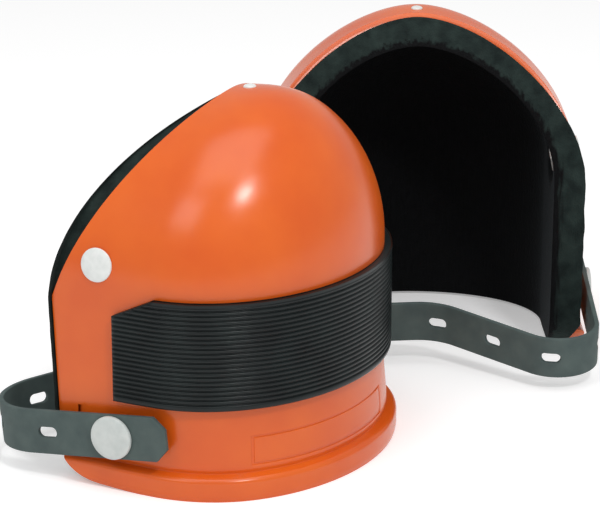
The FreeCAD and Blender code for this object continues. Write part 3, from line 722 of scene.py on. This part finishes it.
def foam_and_knit():
    """Closed-cell foam with a brushed knit: grey-green and pitted where it is cut, mottled over
    about 8 mm, and inside a black nap that takes nearly all the light and frays by about 2.4 mm at
    the cut. Cells of about 0.4 mm and fibres of about 0.1 mm are too fine to show, so they are
    drawn at 1.1 mm and 0.9 mm."""
    material, tree, shader = new_material("foam_closed_cell_with_brushed_knit")
    where = add_node(tree, "TexCoord").outputs["Object"]
    cells = add_node(tree, "TexVoronoi", {"Vector": where}, Scale=spaced(1.1))
    cloud = add_node(tree, "TexNoise", {"Vector": where}, Scale=spaced(8.3), Detail=4.0)
    cut = add_node(tree, "ValToRGB", {"Fac": cloud.outputs["Fac"]})
    set_tones(cut.color_ramp, (0.3, "#141d1c"), (0.75, "#293532"))
    along = add_node(tree, "Mapping", {"Vector": where})
    along.inputs["Scale"].default_value = (1, 1, 0.12)
    nap = add_node(tree, "TexNoise", {"Vector": along.outputs[0]}, Scale=spaced(0.9), Detail=3.0)
    knit = add_node(tree, "ValToRGB", {"Fac": nap.outputs["Fac"]})
    set_tones(knit.color_ramp, (0.35, "#020203"), (0.8, "#0b0c0e"))
    inside = add_node(tree, "Attribute", attribute_name="knit_side")
    fray = add_node(tree, "TexNoise", {"Vector": along.outputs[0]}, Scale=spaced(2.4), Detail=2.0)
    ragged = add_node(tree, "Math", {0: fray.outputs["Fac"]}, operation="MULTIPLY_ADD")
    ragged.inputs[1].default_value = 0.5
    ragged.inputs[2].default_value = -0.25
    side = add_node(tree, "Math", {0: inside.outputs["Fac"], 1: ragged.outputs[0]})
    sharp = add_node(tree, "MapRange", {"Value": side.outputs[0]})
    sharp.inputs["From Min"].default_value = 0.72
    sharp.inputs["From Max"].default_value = 0.86
    colour = add_node(tree, "Mix", data_type="RGBA")
    tree.links.new(sharp.outputs["Result"], colour.inputs["Factor"])
    tree.links.new(cut.outputs["Color"], colour.inputs["A"])
    tree.links.new(knit.outputs["Color"], colour.inputs["B"])
    tree.links.new(colour.outputs["Result"], shader.inputs["Base Color"])
    bump = add_node(tree, "Bump", {"Height": cells.outputs["Distance"]}, Strength=0.5)
    bump.inputs["Distance"].default_value = 0.4 * MM
    fuzz = add_node(tree, "Bump", {"Height": nap.outputs["Fac"], "Normal": bump.outputs[0]},
                    Strength=0.6)
    fuzz.inputs["Distance"].default_value = 0.5 * MM
    tree.links.new(fuzz.outputs["Normal"], shader.inputs["Normal"])
    shader.inputs["Roughness"].default_value = 0.92
    shader.inputs["Specular IOR Level"].default_value = 0.15
    shader.inputs["Sheen Weight"].default_value = 0.12
    shader.inputs["Sheen Roughness"].default_value = 0.5
    shader.inputs["Sheen Tint"].default_value = linear("#8f9aa0")
    return material


LINER_FOAM = foam_and_knit()
for seed, pad in enumerate(PADS):
    make_liner(pad, seed * 5.0).data.materials.append(LINER_FOAM)


# ---- rivets and washers ----------------------------------------------------------------------
# Two broad rivets in the shell's shoulders and a small one at its crown hold the foam: a low white
# nylon head outside, a shank through both layers, and a washer sunk in the foam inside.

RIVET_SINK = 0.5
RIVET_RIM = 0.9
RIVET_CROWN = 1.0
RIVET_SHANK = 2.0
RIVET_WASHER_THICKNESS = 1.6
WASHER_FLOOR = LINER_OUTSIDE + LINER_THICKNESS - 2.2
CLINCH_HEIGHT = 0.8
CLINCH_SPREAD = 1.4
RIVET_HEADS = {"left": 8.4, "right": 8.4, "top": 3.2}


def turned(name, corners, place, pad, slot, node, segments=96):
    """A turned piece. Each corner is a radius, a height and how much its edge is rounded."""
    line = []
    for k, (r, z, soft) in enumerate(corners):
        here = Vector((r, z))
        if soft == 0 or k in (0, len(corners) - 1):
            line.append(here)
            continue
        before = (Vector(corners[k - 1][:2]) - here)
        after = (Vector(corners[k + 1][:2]) - here)
        cut = min(soft, before.length * 0.48, after.length * 0.48)
        a = here + before.normalized() * cut
        b = here + after.normalized() * cut
        for step in range(7):
            t = step / 6
            line.append(a * (1 - t) ** 2 + here * 2 * t * (1 - t) + b * t ** 2)
    points = []
    rings = []
    for r, z in line:
        if r < 1e-6:
            rings.append([len(points)] * segments)
            points.append(place @ Vector((0, 0, z)))
            continue
        rings.append(list(range(len(points), len(points) + segments)))
        for k in range(segments):
            angle = 2 * math.pi * k / segments
            points.append(place @ Vector((r * math.cos(angle), r * math.sin(angle), z)))
    faces = []
    for low, high in zip(rings, rings[1:]):
        for k in range(segments):
            n = (k + 1) % segments
            corners_of = [low[k], low[n], high[n], high[k]]
            faces.append(list(dict.fromkeys(corners_of)))
    faces = [face for face in faces if len(face) > 2]
    piece = new_piece(name, points, faces, pad, pad + "_pad", slot, node)
    tidy_mesh(piece)
    shade_smooth(piece, 40)
    return piece


def make_rivet(pad, spot):
    """The rivet and the washer under its clinched end."""
    head = RIVET_HEADS[spot]
    washer = WASHER_RADII[spot]
    place = rivet_place(spot)
    seat = -RIVET_SINK
    rim = seat + RIVET_RIM
    face = -WASHER_FLOOR - RIVET_WASHER_THICKNESS
    tail = face - CLINCH_HEIGHT
    spread = RIVET_SHANK + CLINCH_SPREAD
    corners = [(0, tail, 0), (spread - CLINCH_HEIGHT / 2, tail, 0.4), (spread, face, 0.2),
               (RIVET_SHANK, face, 0), (RIVET_SHANK, seat, 0), (head, seat, 0.3),
               (head, rim, 0.5), (head * 0.72, rim + RIVET_CROWN * 0.72, 1.5),
               (0, rim + RIVET_CROWN, 0)]
    rivet = turned(pad + "_rivet_head_" + spot, corners, place, pad, "rivet_plastic",
                   pad + "_rivet_" + spot)
    bore = RIVET_SHANK + 0.05
    corners = [(bore, face, 0), (washer, face, 0.5), (washer, -WASHER_FLOOR, 0.3),
               (bore, -WASHER_FLOOR, 0), (bore, face, 0)]
    ring = turned(pad + "_foam_washer_" + spot, corners, place, pad, "washer_plastic",
                  pad + "_rivet_washer_" + spot)
    return rivet, ring


def nylon_white():
    """White nylon, injection moulded: a soft satin with a faint mottle of about 4 mm. The mould's
    grain of about 0.1 mm is too fine to show, so it is drawn at 0.7 mm."""
    material, tree, shader = new_material("nylon_moulded_white")
    where = add_node(tree, "TexCoord").outputs["Object"]
    cloud = add_node(tree, "TexNoise", {"Vector": where}, Scale=spaced(3.8), Detail=3.0)
    tint = add_node(tree, "ValToRGB", {"Fac": cloud.outputs["Fac"]})
    set_tones(tint.color_ramp, (0.3, "#dfe3e0"), (0.75, "#eef0ee"))
    tree.links.new(tint.outputs["Color"], shader.inputs["Base Color"])
    grain = add_node(tree, "TexNoise", {"Vector": where}, Scale=spaced(0.7), Detail=2.0)
    bump = add_node(tree, "Bump", {"Height": grain.outputs["Fac"]}, Strength=0.2)
    bump.inputs["Distance"].default_value = 0.05 * MM
    tree.links.new(bump.outputs["Normal"], shader.inputs["Normal"])
    shader.inputs["Roughness"].default_value = 0.38
    shader.inputs["IOR"].default_value = 1.53
    return material


RIVET_NYLON = nylon_white()
for pad in PADS:
    for spot in RIVET_HEADS:
        for piece in make_rivet(pad, spot):
            piece.data.materials.append(RIVET_NYLON)


# ---- strap studs -----------------------------------------------------------------------------
# A round-headed stud stands out of each flank, low behind the nose: it is clinched over a washer
# inside the shell, and the strap's slot is buttoned over its head.

STUD_HEAD_RADIUS = 11.0
STUD_RIM = 2.0
STUD_CROWN = 0.9
STUD_POST = 2.7
STUD_SHOULDER = 6.0
STUD_STANDOFF = 5.0
STUD_TAIL = 2.2
STUD_WASHER = 8.0
STUD_WASHER_THICKNESS = 1.5
STRAP_THICKNESS = 2.6
STRAP_CLEARANCE = 0.15
STRAP_FACE = STUD_STANDOFF + STRAP_CLEARANCE
STUD_HEAD = STRAP_FACE + STRAP_THICKNESS + STRAP_CLEARANCE
SIDES = (("left", 1), ("right", -1))


def make_stud(pad, side_name, side):
    """The stud and the washer under its clinched end."""
    point = Vector((side * HALF_WIDTH, STUD_BACK, STUD_HEIGHT))
    outward = Vector((side, 0, 0)).to_track_quat("Z", "Y").to_matrix().to_4x4()
    place = Matrix.Translation(point) @ outward
    face = -WALL - STUD_WASHER_THICKNESS
    tail = face - CLINCH_HEIGHT
    spread = STUD_TAIL + CLINCH_SPREAD
    rim = STUD_HEAD + STUD_RIM
    corners = [(0, tail, 0), (spread - CLINCH_HEIGHT / 2, tail, 0.4), (spread, face, 0.2),
               (STUD_TAIL, face, 0), (STUD_TAIL, 0, 0), (STUD_SHOULDER, 0, 0),
               (STUD_SHOULDER, STUD_STANDOFF, 0.4), (STUD_POST, STUD_STANDOFF, 0),
               (STUD_POST, STUD_HEAD, 0), (STUD_HEAD_RADIUS, STUD_HEAD, 0.5),
               (STUD_HEAD_RADIUS, rim, 0.9), (STUD_HEAD_RADIUS * 0.8, rim + STUD_CROWN * 0.6, 3),
               (0, rim + STUD_CROWN, 0)]
    stud = turned(pad + "_strap_stud_" + side_name, corners, place, pad, "stud_plastic",
                  pad + "_stud_" + side_name)
    bore = STUD_TAIL + 0.05
    corners = [(bore, face, 0), (STUD_WASHER, face, 0.4), (STUD_WASHER, -WALL, 0.3),
               (bore, -WALL, 0), (bore, face, 0)]
    ring = turned(pad + "_shell_washer_" + side_name, corners, place, pad, "washer_plastic",
                  pad + "_stud_washer_" + side_name)
    return stud, ring


def nylon_grey():
    """Grey-white nylon, injection moulded: satin, with a dull mottle of about 5.5 mm from handling.
    Scuffs of about 0.1 mm are too fine to show, so they are drawn at 1.1 mm."""
    material, tree, shader = new_material("nylon_moulded_grey_white")
    where = add_node(tree, "TexCoord").outputs["Object"]
    cloud = add_node(tree, "TexNoise", {"Vector": where}, Scale=spaced(5.5), Detail=4.0)
    tint = add_node(tree, "ValToRGB", {"Fac": cloud.outputs["Fac"]})
    set_tones(tint.color_ramp, (0.3, "#c4cbc8"), (0.75, "#d6dbd8"))
    tree.links.new(tint.outputs["Color"], shader.inputs["Base Color"])
    scuff = add_node(tree, "TexNoise", {"Vector": where}, Scale=spaced(1.1), Detail=3.0)
    rough = add_node(tree, "MapRange", {"Value": scuff.outputs["Fac"]})
    rough.inputs["To Min"].default_value = 0.34
    rough.inputs["To Max"].default_value = 0.5
    tree.links.new(rough.outputs["Result"], shader.inputs["Roughness"])
    bump = add_node(tree, "Bump", {"Height": scuff.outputs["Fac"]}, Strength=0.2)
    bump.inputs["Distance"].default_value = 0.06 * MM
    tree.links.new(bump.outputs["Normal"], shader.inputs["Normal"])
    shader.inputs["IOR"].default_value = 1.53
    return material


STUD_NYLON = nylon_grey()
for pad in PADS:
    for side_name, side in SIDES:
        stud, ring = make_stud(pad, side_name, side)
        stud.data.materials.append(STUD_NYLON)
        ring.data.materials.append(RIVET_NYLON)


# ---- leg straps ------------------------------------------------------------------------------
# Each strap is a band cut from grey-green rubber sheet, 22.5 mm wide, punched with ten slots. It
# runs on edge round the open back, a little above the floor, and is buttoned on both studs. The
# corners of its ends are cut off.

STRAP_WIDTH = 22.5
STRAP_TAB = 29.5
STRAP_CORNER_CUT = 6.2
STRAP_HOLES = 10
STRAP_PITCH = 36.9
SLOT_LONG = 10.5
SLOT_HIGH = 5.5
STRAP_DROOP = math.radians(6.0)
MIDDLE_BEND = 30.0
STRAP_ASIDE = HALF_WIDTH + STRAP_FACE + STRAP_THICKNESS / 2
BLANK_EDGE = 0.45
BLANK_CUT = 2.0
# The slots between the studs, then the bend's radius and the slant of the left and right side.
STRAP_WAYS = {"front": (8, (30.0, 30.0), (30.0, 30.0)), "rear": (8, (27.5, 5.0), (22.0, 41.0))}


class StrapSide:
    """One side of the strap's way: a run back from the stud, a bend, a slope that slants forward,
    and half of the bend in the middle."""

    def __init__(self, bend, slant):
        self.bend = bend
        self.turn = math.radians(slant)
        across = STRAP_ASIDE - bend - (bend + MIDDLE_BEND) * math.sin(self.turn)
        self.slope = across / math.cos(self.turn)
        self.beyond_run = bend * (self.turn + math.pi / 2) + MIDDLE_BEND * self.turn + self.slope
        self.depth = (bend + MIDDLE_BEND) * math.cos(self.turn)
        self.depth -= self.slope * math.sin(self.turn)
        self.run = 0.0

    def place(self, distance):
        """The point at a distance from the foremost place, and the direction there."""
        turn = self.turn
        tip = self.run + self.depth
        if distance < MIDDLE_BEND * turn:
            angle = distance / MIDDLE_BEND
            return ((MIDDLE_BEND * math.sin(angle), tip - MIDDLE_BEND * math.cos(angle)),
                    (math.cos(angle), math.sin(angle)))
        distance -= MIDDLE_BEND * turn
        if distance < self.slope:
            way = (math.cos(turn), math.sin(turn))
            return ((MIDDLE_BEND * math.sin(turn) + way[0] * distance,
                     tip - MIDDLE_BEND * math.cos(turn) + way[1] * distance), way)
        distance -= self.slope
        if distance < self.bend * (turn + math.pi / 2):
            angle = turn + math.pi / 2 - distance / self.bend
            return ((STRAP_ASIDE - self.bend + self.bend * math.cos(angle),
                     self.run + self.bend * math.sin(angle)),
                    (math.sin(angle), -math.cos(angle)))
        distance -= self.bend * (turn + math.pi / 2)
        return (STRAP_ASIDE, self.run - distance), (0.0, -1.0)


def strap_blank():
    """The flat strap, with rounded edges: its length along X from the right stud, its width along
    Y. Crosswise cuts let it bend."""
    start = -STRAP_TAB
    end = (STRAP_HOLES - 1) * STRAP_PITCH + STRAP_TAB
    half = STRAP_WIDTH / 2
    cut = STRAP_CORNER_CUT
    outlines = [[(start + cut, -half), (end - cut, -half), (end, -half + cut),
                 (end, half - cut), (end - cut, half), (start + cut, half),
                 (start, half - cut), (start, -half + cut)]]
    for k in range(STRAP_HOLES):
        middle = k * STRAP_PITCH
        flat = (SLOT_LONG - SLOT_HIGH) / 2
        slot = []
        for step in range(24):
            angle = -math.pi / 2 + math.pi * step / 12
            side = flat if step < 12 else -flat
            slot.append((middle + side + SLOT_HIGH / 2 * math.cos(angle),
                         SLOT_HIGH / 2 * math.sin(angle)))
        outlines.append(slot)
    curve = bpy.data.curves.new("strap_blank", "CURVE")
    curve.dimensions = "2D"
    curve.fill_mode = "BOTH"
    for outline in outlines:
        line = curve.splines.new("POLY")
        line.points.add(len(outline) - 1)
        for point, (x, y) in zip(line.points, outline):
            point.co = (x, y, 0, 1)
        line.use_cyclic_u = True
    curve.extrude = STRAP_THICKNESS / 2 - BLANK_EDGE
    curve.bevel_depth = BLANK_EDGE
    curve.bevel_resolution = 2
    curve.offset = -BLANK_EDGE
    blank = bpy.data.objects.new("strap_blank", curve)
    bpy.context.scene.collection.objects.link(blank)
    bpy.context.view_layer.update()
    seen = blank.evaluated_get(bpy.context.evaluated_depsgraph_get())
    mesh = bpy.data.meshes.new_from_object(seen)
    bpy.data.objects.remove(blank)
    bpy.data.curves.remove(curve)
    work = bmesh.new()
    work.from_mesh(mesh)
    bmesh.ops.remove_doubles(work, verts=work.verts, dist=0.005)
    for x in np.arange(start + BLANK_CUT, end, BLANK_CUT):
        everything = work.verts[:] + work.edges[:] + work.faces[:]
        bmesh.ops.bisect_plane(work, geom=everything, plane_co=(x, 0, 0), plane_no=(1, 0, 0))
    bmesh.ops.recalc_face_normals(work, faces=work.faces)
    points = [tuple(v.co) for v in work.verts]
    faces = [[v.index for v in face.verts] for face in work.faces]
    work.free()
    bpy.data.meshes.remove(mesh)
    return points, faces


STRAP_POINTS, STRAP_FACES = strap_blank()


def make_strap(pad):
    """Bends the flat blank along the strap's way. The two sides' runs share out the length between
    the studs so that both slopes meet in the middle."""
    between, left_way, right_way = STRAP_WAYS[pad]
    left = StrapSide(*left_way)
    right = StrapSide(*right_way)
    lead = right.depth - left.depth
    length = STRAP_PITCH * (between + 1)
    right.run = (length - right.beyond_run - left.beyond_run - lead) / 2
    left.run = right.run + lead
    middle = right.run + right.beyond_run
    swing = Matrix.Translation((0, STUD_BACK, STUD_HEIGHT)) @ Matrix.Rotation(-STRAP_DROOP, 4, "X")
    points = []
    for u, v, w in STRAP_POINTS:
        if u < middle:
            (x, y), (wx, wy) = right.place(middle - u)
            x, wy = -x, -wy
        else:
            (x, y), (wx, wy) = left.place(u - middle)
        points.append(swing @ Vector((x - wy * w, y + wx * w, v)))
    strap = new_piece(pad + "_rubber_strap", points, STRAP_FACES, pad, pad + "_leg_strap",
                      "strap_rubber", pad + "_strap")
    tidy_mesh(strap)
    shade_smooth(strap, 40)
    return strap


def rubber_sheet():
    """Grey-green rubber sheet, calendered and die cut: matt and unevenly dusted with talc, over
    about 11 mm. The sheet's grain of about 0.1 mm is too fine to show, so it is drawn at
    0.75 mm."""
    material, tree, shader = new_material("rubber_sheet_grey_green")
    where = add_node(tree, "TexCoord").outputs["Object"]
    dust = add_node(tree, "TexNoise", {"Vector": where}, Scale=spaced(11.0), Detail=5.0)
    tint = add_node(tree, "ValToRGB", {"Fac": dust.outputs["Fac"]})
    set_tones(tint.color_ramp, (0.3, "#435150"), (0.75, "#54625f"))
    tree.links.new(tint.outputs["Color"], shader.inputs["Base Color"])
    grain = add_node(tree, "TexNoise", {"Vector": where}, Scale=spaced(0.75), Detail=3.0)
    bump = add_node(tree, "Bump", {"Height": grain.outputs["Fac"]}, Strength=0.3)
    bump.inputs["Distance"].default_value = 0.1 * MM
    tree.links.new(bump.outputs["Normal"], shader.inputs["Normal"])
    shader.inputs["Roughness"].default_value = 0.78
    return material


STRAP_RUBBER = rubber_sheet()
for pad in PADS:
    make_strap(pad).data.materials.append(STRAP_RUBBER)


# ---- floor, light and camera -----------------------------------------------------------------
# The pads stand on white paper under a white sky, with a small key lamp up in front, a broad
# softbox overhead and a weaker one at the side.

FLOOR_REACH = 6.0
FLOOR_GLOW = 0.3
SKY_LIGHT = 0.55
SKY_SEEN = 1.0

def studio_white(name):
    """Matt white paper. What looks at it straight or by reflection gets a little light added, so
    that the bare paper is white and the shadow on it stays."""
    material, tree, shader = new_material(name)
    shader.inputs["Base Color"].default_value = (0.9, 0.9, 0.9, 1)
    shader.inputs["Roughness"].default_value = 1.0
    shader.inputs["Specular IOR Level"].default_value = 0.0
    path = add_node(tree, "LightPath")
    seen = add_node(tree, "Math", {0: path.outputs["Is Camera Ray"],
                                   1: path.outputs["Is Glossy Ray"]}, operation="MAXIMUM")
    level = add_node(tree, "Math", {0: seen.outputs[0]}, operation="MULTIPLY")
    level.inputs[1].default_value = FLOOR_GLOW
    shader.inputs["Emission Color"].default_value = (1, 1, 1, 1)
    tree.links.new(level.outputs[0], shader.inputs["Emission Strength"])
    return material


floor_mesh = bpy.data.meshes.new("studio_floor")
floor_corners = [(x * FLOOR_REACH, y * FLOOR_REACH, 0)
                 for x, y in ((-1, -1), (1, -1), (1, 1), (-1, 1))]
floor_mesh.from_pydata(floor_corners, [], [(0, 1, 2, 3)])
studio_floor = bpy.data.objects.new("studio_floor", floor_mesh)
bpy.context.scene.collection.objects.link(studio_floor)
floor_mesh.materials.append(studio_white("paper_matt_white"))

world = bpy.data.worlds.new("studio")
bpy.context.scene.world = world
world.use_nodes = True
sky = world.node_tree
sky.nodes.clear()
path = add_node(sky, "LightPath")
seen = add_node(sky, "Math", {0: path.outputs["Is Camera Ray"],
                              1: path.outputs["Is Transmission Ray"]}, operation="MAXIMUM")
strength = add_node(sky, "MapRange", {"Value": seen.outputs[0]})
strength.inputs["To Min"].default_value = SKY_LIGHT
strength.inputs["To Max"].default_value = SKY_SEEN
glow = add_node(sky, "Background", {"Strength": strength.outputs["Result"]})
glow.inputs["Color"].default_value = (1, 1, 1, 1)
add_node(sky, "OutputWorld", {"Surface": glow.outputs[0]})


def soft_lamp(name, place, target, size, watts):
    """A lamp of a width and a height in metres that looks from its place at the target."""
    lamp = bpy.data.lights.new(name, "AREA")
    lamp.shape = "RECTANGLE"
    lamp.size, lamp.size_y = size
    lamp.energy = watts
    holder = bpy.data.objects.new(name, lamp)
    holder.location = place
    holder.rotation_euler = (Vector(target) - Vector(place)).to_track_quat("-Z", "Y").to_euler()
    bpy.context.scene.collection.objects.link(holder)


soft_lamp("key_lamp", (-0.73, -0.88, 1.37), (-0.15, -0.01, 0.15), (0.2, 0.14), 7)
soft_lamp("overhead_softbox", (-0.3, -0.1, 1.6), (0, 0, 0.08), (1.2, 1.0), 7)
soft_lamp("side_softbox", (-1.2, 0.2, 1.2), (0, 0, 0.1), (0.6, 0.5), 2.6)

# The view is given in the front pad's own millimetres: it stands off that pad's front and right,
# a little above it, and looks at a point between the two pads.
EYE_PLACE = Vector((-1103.1, -574.9, 486.8))
EYE_TARGET = Vector((28.1, -20.3, 91.8))
LENS = 155.2
SENSOR_WIDTH = 36.0

camera = bpy.data.cameras.new("camera")
camera.lens = LENS
camera.sensor_width = SENSOR_WIDTH
eye = bpy.data.objects.new("camera", camera)
bpy.context.scene.collection.objects.link(eye)
stand = PLACE["front"] @ (EYE_PLACE * MM)
aim = PLACE["front"] @ (EYE_TARGET * MM)
eye.location = stand
eye.rotation_euler = (aim - stand).to_track_quat("-Z", "Y").to_euler()
bpy.context.scene.camera = eye
bpy.context.scene.view_settings.view_transform = "Standard"
